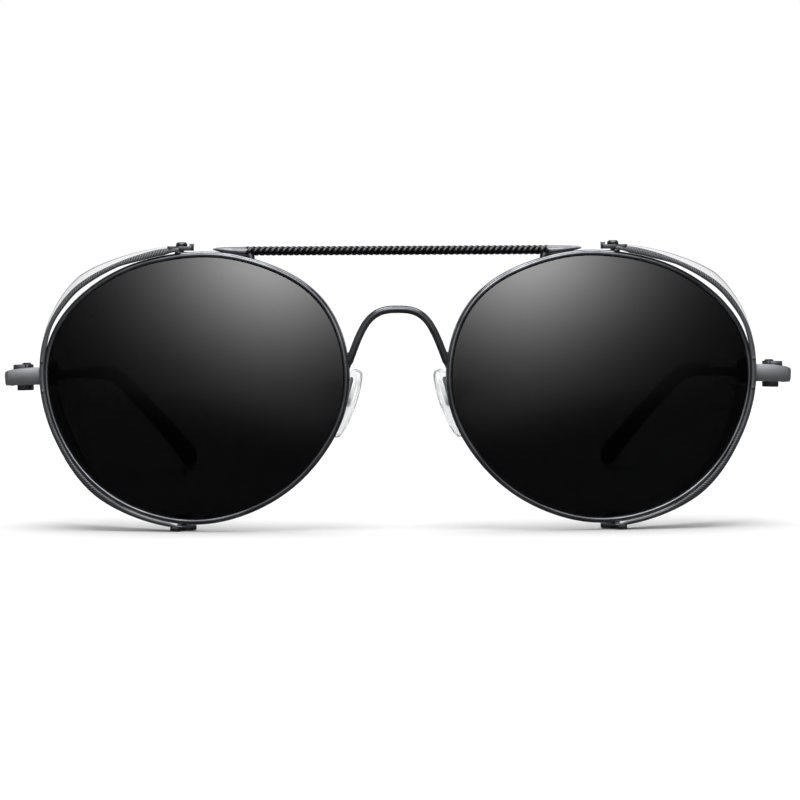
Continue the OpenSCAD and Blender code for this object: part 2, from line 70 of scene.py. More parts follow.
# Where the rim is split behind the end piece, and how wide, in degrees round the lens.
SPLIT_ANGLE, SPLIT_GAP = 174.6, 0.2

# Inner and outer edge of the shield band outside the lens outline, every BAND_STEP degrees.
BAND_FROM, BAND_TO, BAND_STEP = 97.5, 262.5, 7.5
BAND_EDGES = [
    (1.2, 1.98), (1.35, 2.2), (1.3, 2.17), (1.38, 2.17), (1.45, 2.3), (1.58, 2.55), (1.72, 2.7),
    (1.53, 2.48), (1.38, 2.18), (0.88, 1.85), (0.66, 1.56), (0.6, 1.52), (0.58, 1.5), (0.6, 1.5),
    (0.56, 1.52), (0.7, 1.68), (0.75, 1.88), (0.8, 1.98), (0.82, 1.88), (0.9, 1.76), (1.06, 1.7),
    (1.18, 1.68), (1.24, 1.68)]
BAND_BACK, BAND_FRONT = -1.0, -1.6
# The band's inner flange: its edge, and where it stands (start, rise, end and fall in degrees).
FLANGE_EDGE = 0.97
FLANGES = ((100, 4, 124, 10), (232, 10, 260, 3))
# The wings: the slot between them in degrees, their sheet, and their depth midway and at the ends.
SLOT_TOP, SLOT_BOTTOM = 169.3, 181.8
SHEET = 0.38
SHIELD_DEPTH, END_DEPTH = 15.5, 1.7
# How far each wing leans out at its rear edge, and over which degrees the lean grows.
UPPER_LEAN, UPPER_FROM, UPPER_GROWS = 2.1, 92, 48
LOWER_LEAN, LOWER_FROM, LOWER_GROWS = -1, 250, 30
LEAN_POWER = 1.3

# The middle of the left nose pad, its lean from upright and its turn from straight ahead.
PAD_PLACE = Vector((9.75, 7.6, 23.1))
PAD_LEAN, PAD_SPLAY = radians(22), radians(25)
# The cross screw that it rocks on, outboard and up from its middle.
PAD_SCREW_X, PAD_SCREW_Z = 2.05, 2.2

# Stage, in metres: how far before the rims the softbox stands, and how high the lenses' middle is.
SOFTBOX_GAP = 0.5
MIRROR_HEIGHT = 0.023
# Light of the softbox: its peak and the rest of the cloth, the peak's height and roundness, and two
# figures for its fade aside and upward.
GLOW_PEAK, GLOW_REST = 60.0, 0.0125
GLOW_HEIGHT, GLOW_ROUND = 0.357, 0.0225
FADE_ASIDE, FADE_UP = -0.09, -23.5
# Light of the white surround: on the glasses, in the picture, and what it loses in their gloss.
SKY_LIGHT, SKY_SEEN, SKY_GLOSS = 0.5, 1.0, -0.33
SUN_STRENGTH, SUN_ANGLE, SUN_LEAN = 2.2, radians(46), radians(4)
# Name, place, aim, size, watts and whether it also lights the paper.
SOFTBOXES = (
    ("top_softbox", (0.0, -0.25, 0.9), (0, 0, 0), (1.2, 0.5), 18, False),
    ("left_strip", (-0.75, 0.1, 0.3), (0, -0.05, 0.02), (0.2, 0.7), 1.2, True),
    ("right_strip", (0.75, 0.1, 0.3), (0, -0.05, 0.02), (0.2, 0.7), 1.2, True),
)
# The front cloth and the backdrop as half sizes, how far back the backdrop stands, and its light.
CLOTH_SIZE, BACKDROP_SIZE, BACKDROP_DEPTH, BACKDROP_LIGHT = 0.8, 0.7, 1.6, 0.95
FLOOR_SIZE = 3
# The photo's camera: its place in mm, how it points down and turns in degrees, and its focal
# length, which is 2387 pixels of a picture 800 pixels wide.
CAMERA_PLACE = (0.37, -438, 47.7)
CAMERA_DOWN, CAMERA_TURN = 3.09, -0.28
SENSOR_WIDTH = 36
FOCAL_LENGTH = SENSOR_WIDTH * 2387 / 800


def place(point, side=1):
    """A point in mm, measured from the mean plane of the rims, put into the row frame."""
    return Vector((side * point[0], point[1] + FRONT_Y, point[2])) * MM


def linear(code, alpha=1.0):
    """The linear colour of an sRGB hex value."""
    parts = [int(code[i:i + 2], 16) / 255 for i in (1, 3, 5)]
    return [c / 12.92 if c <= 0.04045 else ((c + 0.055) / 1.055) ** 2.4 for c in parts] + [alpha]


def share(value):
    """The value held between none and all."""
    return min(1, max(0, value))


# Shape of the lenses

def outline_waves():
    """The waves, once to HARMONICS times round, that make up the lens outline."""
    step = 2 * pi / len(LENS_RADII)
    waves = []
    for k in range(1, HARMONICS + 1):
        across = sum(r * cos(k * i * step) for i, r in enumerate(LENS_RADII)) * 2 / len(LENS_RADII)
        upward = sum(r * sin(k * i * step) for i, r in enumerate(LENS_RADII)) * 2 / len(LENS_RADII)
        waves.append((across, upward))
    return waves


WAVES = outline_waves()


def outline(angle):
    """Point of the lens outline, outboard and up from the lens centre."""
    a = radians(angle)
    r = sum(LENS_RADII) / len(LENS_RADII)
    for k, (across, upward) in enumerate(WAVES, 1):
        r += across * cos(k * a) + upward * sin(k * a)
    return Vector((-r * cos(a), r * sin(a)))


def around(angle, reach):
    """Point beside the lens outline, reach mm outside it."""
    along = (outline(angle + 0.5) - outline(angle - 0.5)).normalized()
    return outline(angle) + reach * Vector((-along.y, along.x))


def eye(point, depth):
    """A point of the left lens's plane, put depth mm behind the curved surface of that lens."""
    back = LENS_CURVE - sqrt(LENS_CURVE ** 2 - point.length_squared) + depth
    return Vector((
        LENS_X + point.x * cos(FACE_WRAP) - back * sin(FACE_WRAP),
        LENS_Y + point.x * sin(FACE_WRAP) + back * cos(FACE_WRAP),
        LENS_Z + point.y,
    ))


# Paths and sections

def curve_at(points, i, t):
    """Place at share t of the smooth curve from point i to the next."""
    a, b = points[max(i - 1, 0)], points[i]
    c, d = points[i + 1], points[min(i + 2, len(points) - 1)]
    return [0.5 * (2 * q + (r - p) * t + (2 * p - 5 * q + 4 * r - s) * t * t
                   + (3 * q - p - 3 * r + s) * t ** 3)
            for p, q, r, s in zip(a, b, c, d)]


def curve(points, steps):
    """Smooth path through a few points."""
    path = [curve_at(points, i, j / steps) for i in range(len(points) - 1) for j in range(steps)]
    return [Vector(p) for p in path + [points[-1]]]


def between(pairs, x):
    """Value between a few (place, value) pairs."""
    for (x0, v0), (x1, v1) in zip(pairs, pairs[1:]):
        if x <= x1:
            return v0 + (v1 - v0) * max(0, (x - x0) / (x1 - x0))
    return pairs[-1][1]


def round_section(radius, sides):
    """A circle."""
    turns = [2 * pi * k / sides for k in range(sides)]
    return [(radius * cos(t), radius * sin(t)) for t in turns]


def oval_section(width, height, sides, squareness=0.8):
    """An oval; the lower its squareness figure, the squarer it is."""
    ring = []
    for k in range(sides):
        a = 2 * pi * (k + 0.5) / sides
        c, s = cos(a), sin(a)
        ring.append((width / 2 * abs(c) ** squareness * (1 if c > 0 else -1),
                     height / 2 * abs(s) ** squareness * (1 if s > 0 else -1)))
    return ring


def rounded_corners(corners, radius, steps=3):
    """The closed section through the corners, each turned round with a small radius."""
    ring = []
    for i, corner in enumerate(corners):
        here = Vector(corner)
        before = Vector(corners[i - 1]) - here
        after = Vector(corners[(i + 1) % len(corners)]) - here
        cut = min(radius, before.length * 0.45, after.length * 0.45)
        start, end = here + before.normalized() * cut, here + after.normalized() * cut
        for k in range(steps + 1):
            t = k / steps
            ring.append(tuple(start * (1 - t) ** 2 + here * 2 * t * (1 - t) + end * t * t))
    return ring


def ring_at(centre, along, section, upright):
    """The section set square to a direction, its second axis nearest to upright."""
    side = along.cross(upright).normalized()
    up = along.cross(side)
    return [centre + x * side + y * up for x, y in section]


def direction(path, i):
    """The way a path runs at one of its points."""
    return (path[min(i + 1, len(path) - 1)] - path[max(i - 1, 0)]).normalized()


def rings_along(path, section_at, upright, wanted=lambda p: True):
    """One ring at each wanted point of a path, with the section that the point asks for."""
    return [ring_at(p, direction(path, i), section_at(p), upright)
            for i, p in enumerate(path) if wanted(p)]


# Mesh tools

def sweep(bm, rings, side=1, along=None, across=None):
    """Grow a skin from ring to ring by extruding the first ring's edges, and close both ends. Each
    vertex keeps how far along and across the skin it lies, for the materials."""
    run = bm.verts.layers.float.get("along") or bm.verts.layers.float.new("along")
    wide = bm.verts.layers.float.get("across") or bm.verts.layers.float.new("across")
    count = len(rings[0])
    verts = [bm.verts.new(place(p, side)) for p in rings[0]]
    edges = [bm.edges.new((verts[i], verts[(i + 1) % count])) for i in range(count)]
    first, travel = verts, 0.0
    for index, ring in enumerate(rings):
        if index:
            grown = bmesh.ops.extrude_edge_only(bm, edges=edges)["geom"]
            fresh = {v for v in grown if isinstance(v, bmesh.types.BMVert)}
            verts = [next(e.other_vert(v) for e in v.link_edges if e.other_vert(v) in fresh)
                     for v in verts]
            travel += (Vector(ring[0]) - Vector(rings[index - 1][0])).length
            edges = [bm.edges.get((verts[i], verts[(i + 1) % count])) for i in range(count)]
        for k, (v, p) in enumerate(zip(verts, ring)):
            v.co = place(p, side)
            v[run] = along[index] if along else travel
            v[wide] = across[k] if across else k / count
    bmesh.ops.contextual_create(bm, geom=first)
    bmesh.ops.contextual_create(bm, geom=verts)


def round_edges(bm, sharpness, width, clamp):
    """Round over the edges that turn by more than sharpness degrees."""
    least = radians(sharpness)
    sharp = [e for e in bm.edges if len(e.link_faces) == 2 and e.calc_face_angle(0) > least]
    bmesh.ops.bevel(bm, geom=sharp, offset=width * MM, offset_type="OFFSET", segments=2,
                    profile=0.5, affect="EDGES", clamp_overlap=clamp, material=-1)


def put(name, data):
    """A new object in the scene."""
    item = bpy.data.objects.new(name, data)
    bpy.context.scene.collection.objects.link(item)
    return item


def mesh_from(bm, name, material):
    """Turn the working mesh into one with its material."""
    mesh = bpy.data.meshes.new(name)
    bm.to_mesh(mesh)
    bm.free()
    mesh.materials.append(material)
    return mesh


def finish_mesh(bm, name, material, body, replaced, smooth_angle=40):
    """Make one piece, smooth between its edges, on its body and for the nodes that it replaces."""
    bmesh.ops.recalc_face_normals(bm, faces=bm.faces[:])
    mesh = mesh_from(bm, name, material)
    mesh.shade_smooth()
    mesh.set_sharp_from_angle(angle=radians(smooth_angle))
    piece = put(name, mesh)
    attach(piece, body)
    if replaced:
        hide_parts(*replaced)


def softened(node, material, body, width=0.08):
    """A copy of a small solid with its edges rounded over, as tumbling and plating leave them."""
    bm = bmesh.new()
    bm.from_mesh(frame["nodes"][node].data)
    bmesh.ops.remove_doubles(bm, verts=bm.verts[:], dist=0.002 * MM)
    bmesh.ops.dissolve_limit(bm, angle_limit=radians(1), verts=bm.verts[:], edges=bm.edges[:])
    round_edges(bm, 35, width, True)
    finish_mesh(bm, node + "_finished", material, body, [node], 30)


# Materials

def add(tree, kind, values=None):
    """Add one node. Each value sets an input or a property, or is the socket that feeds it."""
    node = tree.nodes.new(kind)
    for key, value in (values or {}).items():
        if isinstance(value, bpy.types.NodeSocket):
            tree.links.new(value, node.inputs[key])
        elif isinstance(key, int) or key in node.inputs:
            node.inputs[key].default_value = value
        else:
            setattr(node, key, value)
    return node


def maths(tree, operation, *terms, clamp=False):
    """The result of one maths node. Each term is a number or a socket."""
    values = {"operation": operation, "use_clamp": clamp, **dict(enumerate(terms))}
    return add(tree, "ShaderNodeMath", values).outputs[0]


def empty_tree(holder):
    """The node tree of a new material or world, with nothing in it."""
    holder.use_nodes = True
    holder.node_tree.nodes.clear()
    return holder.node_tree


def start_material(name, **shader):
    """A new material, its node tree and its shader with a few values set."""
    material = bpy.data.materials.new(name)
    tree = empty_tree(material)
    inputs = {key.replace("_", " "): value for key, value in shader.items()}
    principled = add(tree, "ShaderNodeBsdfPrincipled", inputs)
    add(tree, "ShaderNodeOutputMaterial", {"Surface": principled.outputs["BSDF"]})
    return material, tree, principled


def noise(tree, size_mm, detail, stretch=(1.0, 1.0, 1.0)):
    """Noise through the piece, with spots of about one size."""
    where = add(tree, "ShaderNodeTexCoord").outputs["Object"]
    if stretch != (1.0, 1.0, 1.0):
        where = add(tree, "ShaderNodeMapping", {"Scale": stretch, "Vector": where}).outputs[0]
    values = {"Scale": 1 / (size_mm * MM), "Detail": detail, "Vector": where}
    return add(tree, "ShaderNodeTexNoise", values).outputs["Fac"]


def colour_from(tree, principled, factor, stops):
    """Colour the surface from (place, sRGB hex) stops."""
    node = add(tree, "ShaderNodeValToRGB", {"Fac": factor})
    for element, (position, code) in zip(node.color_ramp.elements, stops):
        element.position, element.color = position, linear(code)
    tree.links.new(node.outputs["Color"], principled.inputs["Base Color"])


def gloss_from(tree, principled, factor, low, high):
    """Let the roughness wander between two values."""
    gloss = add(tree, "ShaderNodeMapRange", {"Value": factor, "To Min": low, "To Max": high})
    tree.links.new(gloss.outputs["Result"], principled.inputs["Roughness"])


def relief_from(tree, principled, height, strength, depth_mm=0.02):
    """Raise and sink the surface a little."""
    values = {"Strength": strength, "Distance": depth_mm * MM, "Height": height}
    relief = add(tree, "ShaderNodeBump", values)
    tree.links.new(relief.outputs["Normal"], principled.inputs["Normal"])


def satin_metal(name, tone, worn, roughness, plating=0.78):
    """Plated metal under a thin tinted lacquer, tumbled to a satin: a fine cloudy grain that breaks
    the gloss, and slightly paler patches where handling has rubbed the plating."""
    material, tree, principled = start_material(name, Metallic=plating)
    grain = noise(tree, 0.16, 3.0)
    colour_from(tree, principled, noise(tree, 6, 2.0), [(0.35, tone), (0.72, worn)])
    gloss_from(tree, principled, grain, roughness - 0.03, roughness + 0.04)
    relief_from(tree, principled, grain, 0.04)
    return material


def sheet_metal(name, tone, hem):
    """Thin pressed sheet, plated and polished, with painted shade along its rolled rear hem."""
    material, tree, principled = start_material(name, Metallic=0.85)
    across = add(tree, "ShaderNodeAttribute", {"attribute_name": "across"}).outputs["Fac"]
    # Towards the rear edge the sheet turns to the darker colour: painted shade on the rolled hem.
    colour_from(tree, principled, across, [(0.86, tone), (0.9, hem)])
    gloss_from(tree, principled, noise(tree, 2.5, 2.0), 0.16, 0.26)
    return material


def engraved_metal(name, tone, groove, roughness, pitch_mm):
    """The same metal with slanting lines rolled into its face, with painted shade in the grooves.
    Real lines lie about 0.25 mm apart; they are drawn a little coarser so that they show."""
    material, tree, principled = start_material(name, Metallic=0.6, Roughness=roughness)
    along = add(tree, "ShaderNodeAttribute", {"attribute_name": "along"}).outputs["Fac"]
    across = add(tree, "ShaderNodeAttribute", {"attribute_name": "across"}).outputs["Fac"]
    slant = maths(tree, "MULTIPLY_ADD", across, 0.9, along)
    wave = maths(tree, "SINE", maths(tree, "MULTIPLY", slant, 2 * pi / pitch_mm))
    ridges = add(tree, "ShaderNodeMapRange", {"Value": wave, "From Min": -1.0, "From Max": 1.0})
    height = ridges.outputs["Result"]
    # The grooves take the darker colour: painted shade in the grooves.
    colour_from(tree, principled, height, [(0.12, groove), (0.55, tone)])
    relief_from(tree, principled, height, 0.7, 0.06)
    return material


def smoked_glass(name, tint):
    """Dark neutral mineral glass, ground and polished. It stops nearly all light, and mirrors."""
    material, tree, principled = start_material(
        name, Transmission_Weight=1.0, IOR=1.52, Base_Color=linear(tint))
    gloss_from(tree, principled, noise(tree, 12, 1.0), 0.015, 0.03)
    return material


def black_plastic(name, tone, sheen):
    """Cellulose tip, tumbled and hand polished: near black, with soft rubbed streaks along it."""
    material, tree, principled = start_material(name, IOR=1.5)
    streaks = noise(tree, 1.2, 3.0, (1.0, 0.2, 1.0))
    colour_from(tree, principled, streaks, [(0.3, tone), (0.8, sheen)])
    gloss_from(tree, principled, streaks, 0.2, 0.36)
    relief_from(tree, principled, streaks, 0.06)
    return material


def clear_silicone(name, tint):
    """Moulded silicone rubber: clear, a little milky, with a soft satin skin."""
    material, tree, principled = start_material(
        name, Transmission_Weight=0.92, IOR=1.41, Base_Color=linear(tint))
    skin = noise(tree, 0.8, 2.0)
    gloss_from(tree, principled, skin, 0.12, 0.26)
    relief_from(tree, principled, skin, 0.08)
    return material


MADE = {}


def finish_of(kind):
    """Each finish is made once, from the panel's colours."""
    if kind not in MADE:
        look = bpy.context.scene.glasses_look
        dark, black = look.dark_metal, look.screw_metal
        makers = {
            # Gunmetal plating on the drawn wire of rims, bridge and arms.
            "gunmetal": lambda: satin_metal(
                "satin_gunmetal_plate", look.gunmetal, look.gunmetal_worn, look.wire_gloss),
            # The same plating on the end pieces, paler all over and less metallic.
            "end": lambda: satin_metal(
                "satin_end_piece_plate", look.gunmetal_worn, look.gunmetal_worn, 0.34, 0.6),
            # Darker plating on the small soldered parts behind the rims.
            "dark": lambda: satin_metal("dark_plated_solder_parts", dark, look.gunmetal, 0.36),
            # Glossy dark plating on the brow bar's twisted wire.
            "rope": lambda: satin_metal("dark_twisted_wire", dark, dark, 0.22, 0.9),
            # Blackened metal moulded into the nose pads.
            "insert": lambda: satin_metal("blackened_pad_insert", black, black, 0.5, 0.1),
            # Blackened steel, bright where a driver has rubbed it.
            "screw": lambda: satin_metal("blackened_steel_screws", black, look.gunmetal, 0.3),
            # Dull plating over the rolled pattern of the bands, with painted shade in its grooves.
            "band": lambda: engraved_metal(
                "rolled_pattern_band", look.band_metal, black, 0.42, look.engraving),
            # Bright nickel on the shields' pressed wings, with painted shade along their rear hem.
            "sheet": lambda: sheet_metal("polished_nickel_sheet", look.sheet, dark),
            # Near-black mineral glass of the lenses.
            "glass": lambda: smoked_glass("smoked_mineral_glass", look.lens_tint),
            # Polished black acetate of the temple tips.
            "tip": lambda: black_plastic("polished_black_acetate", look.tip, look.tip_sheen),
            # Clear silicone of the nose pads.
            "silicone": lambda: clear_silicone("clear_silicone_rubber", look.silicone),
        }
        MADE[kind] = makers[kind]()
    return MADE[kind]


# Properties

class GLASSES_PG_sizes(bpy.types.PropertyGroup):
    """Sizes of the glasses"""
    rim_width: FloatProperty(
        name="Rim width", description="Rim wire seen from the front, mm", default=0.98)
    rim_depth: FloatProperty(
        name="Rim depth", description="Rim wire from front to back, mm", default=1.9)
    lens_thickness: FloatProperty(
        name="Lens thickness", description="Thickness of a lens, mm", default=1.6)
    bridge_wire: FloatProperty(
        name="Bridge wire", description="Diameter of the bridge wire, mm", default=1.4)
    strand: FloatProperty(
        name="Brow strand", description="Diameter of a strand of the brow bar, mm", default=0.84)
    pitch: FloatProperty(
        name="Twist pitch", description="Length of one turn of the brow bar, mm", default=3.15)
    pad_length: FloatProperty(
        name="Pad length", description="Length of a nose pad, mm", default=13.4)


class GLASSES_PG_look(bpy.types.PropertyGroup):
    """Colours and finishes of the glasses"""
    gunmetal: StringProperty(
        name="Gunmetal", description="Plated wire, sRGB hex", default="#444548")
    gunmetal_worn: StringProperty(
        name="Worn gunmetal", description="Rubbed plating, sRGB hex", default="#6c6d70")
    dark_metal: StringProperty(
        name="Dark metal", description="Small solid parts, sRGB hex", default="#363638")
    band_metal: StringProperty(
        name="Band", description="Ridges of the engraved band, sRGB hex", default="#57585b")
    screw_metal: StringProperty(
        name="Screws", description="Blackened screws, sRGB hex", default="#303032")
    sheet: StringProperty(
        name="Shield sheet", description="Side shield metal, sRGB hex", default="#f0f0f2")
    lens_tint: StringProperty(
        name="Lens tint", description="Smoked glass, sRGB hex", default="#080809")
    tip: StringProperty(
        name="Temple tip", description="Black plastic, sRGB hex", default="#121213")
    tip_sheen: StringProperty(
        name="Tip streaks", description="Rubbed streaks, sRGB hex", default="#232325")
    silicone: StringProperty(
        name="Nose pads", description="Clear silicone, sRGB hex", default="#fafbfc")
    wire_gloss: FloatProperty(
        name="Wire roughness", description="Roughness of the wire", default=0.2)
    engraving: FloatProperty(
        name="Engraving pitch", description="Distance between engraved lines, mm", default=0.52)


# Pieces

class GLASSES_OT_rims(bpy.types.Operator):
    """Drawn wire rims with soft corners and the groove that holds the lens"""
    bl_idname = "glasses.rims"
    bl_label = "Rims"

    def execute(self, context):
        size = context.scene.glasses_sizes
        w, d = size.rim_width, size.rim_depth / 2
        # The back is flat, the front is rolled round and the inner side carries the lens groove.
        inner, hair = 0.02, 0.01
        back = [(inner, d - 0.2), (0.08, d - 0.06), (0.2, d - hair),
                (w - 0.2, d - hair), (w - 0.06, d - 0.06), (w - hair, d - 0.2)]
        crown_place, crown_height, crown_steps, crown_turn = 0.36, 0.35, 12, 78
        crown = []
        for k in range(crown_steps + 1):
            t = radians(crown_turn - 2 * crown_turn * k / crown_steps)
            out, depth = (w / 2 - hair) * sin(t), crown_height * cos(t)
            crown.append((w / 2 + out, -d + crown_place - depth))
        groove_half, groove_floor = 0.45, 0.4
        groove = [(inner, -groove_half), (groove_floor, -groove_half),
                  (groove_floor, groove_half), (inner, groove_half)]
        stations = 240
        for name, side in SIDES.items():
            bm = bmesh.new()
            rings = []
            for i in range(stations + 1):
                a = SPLIT_ANGLE + SPLIT_GAP / 2 + i * (360 - SPLIT_GAP) / stations
                rings.append([eye(around(a, n), depth) for n, depth in back + crown + groove])
            sweep(bm, rings, side)
            finish_mesh(bm, name + "_rim_wire", finish_of("gunmetal"), "front",
                        [name + "_rim"], 50)
        return {"FINISHED"}


class GLASSES_OT_lenses(bpy.types.Operator):
    """Curved smoked lenses with a thin tongue round the edge"""
    bl_idname = "glasses.lenses"
    bl_label = "Lenses"

    def execute(self, context):
        # A hair thinner than the solid, so that nothing stands outside the CAD box.
        half = context.scene.glasses_sizes.lens_thickness / 2 - 0.005
        stations, shells, pole = 144, 14, 0.01
        inset, chamfered, chamfer = -0.08, -0.14, 0.06
        tongue, tongue_half = 0.28, 0.32
        edge = [(chamfered, half), (inset, half - chamfer),
                (inset, tongue_half), (tongue, tongue_half)]
        steps = [(k / shells, inset, -half) for k in range(shells)]
        steps += [(1, reach, -depth) for reach, depth in edge]
        steps += [(1, reach, depth) for reach, depth in reversed(edge)]
        steps += [(k / shells, inset, half) for k in range(shells - 1, -1, -1)]
        for name, side in SIDES.items():
            bm = bmesh.new()
            rings = []
            for scale, reach, depth in steps:
                scale = max(scale, pole)
                turns = [360 * k / stations for k in range(stations)]
                rings.append([eye(around(a, reach) * scale, depth) for a in turns])
            sweep(bm, rings, side)
            finish_mesh(bm, name + "_lens_glass", finish_of("glass"), "front",
                        [name + "_lens"], 30)
        return {"FINISHED"}


class GLASSES_OT_bridge(bpy.types.Operator):
    """Low arched bridge wire with its solder at the rims"""
    bl_idname = "glasses.bridge"
    bl_label = "Bridge"

    def execute(self, context):
        radius = context.scene.glasses_sizes.bridge_wire / 2
        half = [(0, 0), (1.75, -0.08), (3.35, -0.5), (4.75, -1.4), (5.9, -2.75), (7.05, -4.9),
                (8.15, -7.6), (8.85, -9.5), (9.25, -10.9)]
        top, depth, bow, reach, drop = 40.75, -1.2, 1.1, 9.25, 10.9
        thinning, thinned_length = 0.63, 1.4
        points = [(-x, z) for x, z in reversed(half[1:])] + half
        path = curve([(x, depth - bow * (1 - (x / reach) ** 2), top + z) for x, z in points], 8)

        def section_at(p):
            # The ends are filed thin against the rims.
            thin = thinning * max(0, 1 - (p.z - top + drop) / thinned_length)
            return round_section(radius * (1 - thin), 20)

        bm = bmesh.new()
        sweep(bm, rings_along(path, section_at, Vector((0, 1, 0))))
        # A web of solder fills the fork between leg and rim (outboard, half its depth, up).
        fork = [(9.35, 0.28, 32.9), (9.2, 0.42, 31.9), (9.15, 0.5, 30.9), (9.2, 0.4, 30.0)]
        spread, behind = 1.25, 0.1
        rings = []
        for x, r, z in fork:
            rings.append([Vector((x + spread * r * c, depth + behind + r * s, z))
                          for c, s in round_section(1, 12)])
        for side in SIDES.values():
            sweep(bm, rings, side)
        finish_mesh(bm, "bridge_wire", finish_of("gunmetal"), "front", ["bridge"])
        return {"FINISHED"}


class GLASSES_OT_brow(bpy.types.Operator):
    """Brow bar of three strands laid round each other, and its soldered terminals"""
    bl_idname = "glasses.brow"
    bl_label = "Brow bar"

    # Each terminal is the rope's end hammered to a leaf (outboard, up, half its height), with a
    # short foot down to the rim (outboard, up, half its width).
    LEAF = [(33.7, 51.85, 0.12), (33.0, 51.83, 0.32), (32.0, 51.74, 0.48), (31.0, 51.62, 0.62),
            (29.8, 51.5, 0.76), (28.5, 51.38, 0.9), (27.6, 51.35, 0.92), (26.8, 51.4, 0.86),
            (26.2, 51.47, 0.72)]
    FOOT = [(27.5, 51.5, 0.9), (27.0, 50.8, 0.85), (26.75, 50.2, 0.7), (26.7, 49.8, 0.6)]
    FOOT_DEPTH = 0.6
    STRANDS, STEPS_PER_TURN = 3, 16

    def execute(self, context):
        size = context.scene.glasses_sizes
        half, bar_radius, depth, height = 27.6, 0.875, -0.3, 51.5
        reach = bar_radius - size.strand / 2
        lay = 2 * pi * reach / size.pitch
        turns = 2 * half / size.pitch
        steps = round(turns * self.STEPS_PER_TURN)
        bm = bmesh.new()
        for strand in range(self.STRANDS):
            start = 2 * pi * strand / self.STRANDS
            rings = []
            for i in range(steps + 1):
                a = start - 2 * pi * turns * i / steps
                out = Vector((0, cos(a), sin(a)))
                along = Vector((1, lay * sin(a), -lay * cos(a))).normalized()
                centre = Vector((-half + 2 * half * i / steps, depth, height)) + reach * out
                section = round_section(size.strand / 2 - 0.005, 14)
                rings.append([centre + x * out + y * along.cross(out) for x, y in section])
            sweep(bm, rings)
        finish_mesh(bm, "brow_bar_strands", finish_of("rope"), "front", ["brow_twist"])
        path = [Vector((x, depth, z)) for x, z, _ in self.LEAF]
        leaf = []
        for i, (x, z, tall) in enumerate(self.LEAF):
            section = oval_section(2 * min(0.6, 0.3 + tall * 0.5), 2 * tall, 24, 0.9)
            leaf.append(ring_at(path[i], direction(path, i), section, UP))
        foot = []
        for x, z, wide in self.FOOT:
            foot.append([Vector((x + wide * c, depth + self.FOOT_DEPTH * s, z))
                         for c, s in round_section(1, 20)])
        for name, side in SIDES.items():
            bm = bmesh.new()
            sweep(bm, leaf, side)
            sweep(bm, foot, side)
            finish_mesh(bm, name + "_brow_leaf", finish_of("gunmetal"), "front",
                        [name + "_brow_terminal"])
        return {"FINISHED"}


class GLASSES_OT_fittings(bpy.types.Operator):
    """End pieces, closing blocks, hinge leaves, lugs and screws with rounded edges"""
    bl_idname = "glasses.fittings"
    bl_label = "Fittings"

    def execute(self, context):
        for name in SIDES:
            softened(name + "_end_piece", finish_of("end"), "front", 0.3)
            for part in ("closing_block", "front_hinge", "shield_lugs", "pad_box"):
                softened(name + "_" + part, finish_of("dark"), "front")
            softened(name + "_temple_hinge", finish_of("dark"), name + "_temple")
            softened(name + "_shield_tabs", finish_of("dark"), name + "_shield", 0.1)
        for part in ("closing_screws", "hinge_screws", "shield_screws", "pad_screws"):
            softened(part, finish_of("screw"), "front", 0.04)
        return {"FINISHED"}


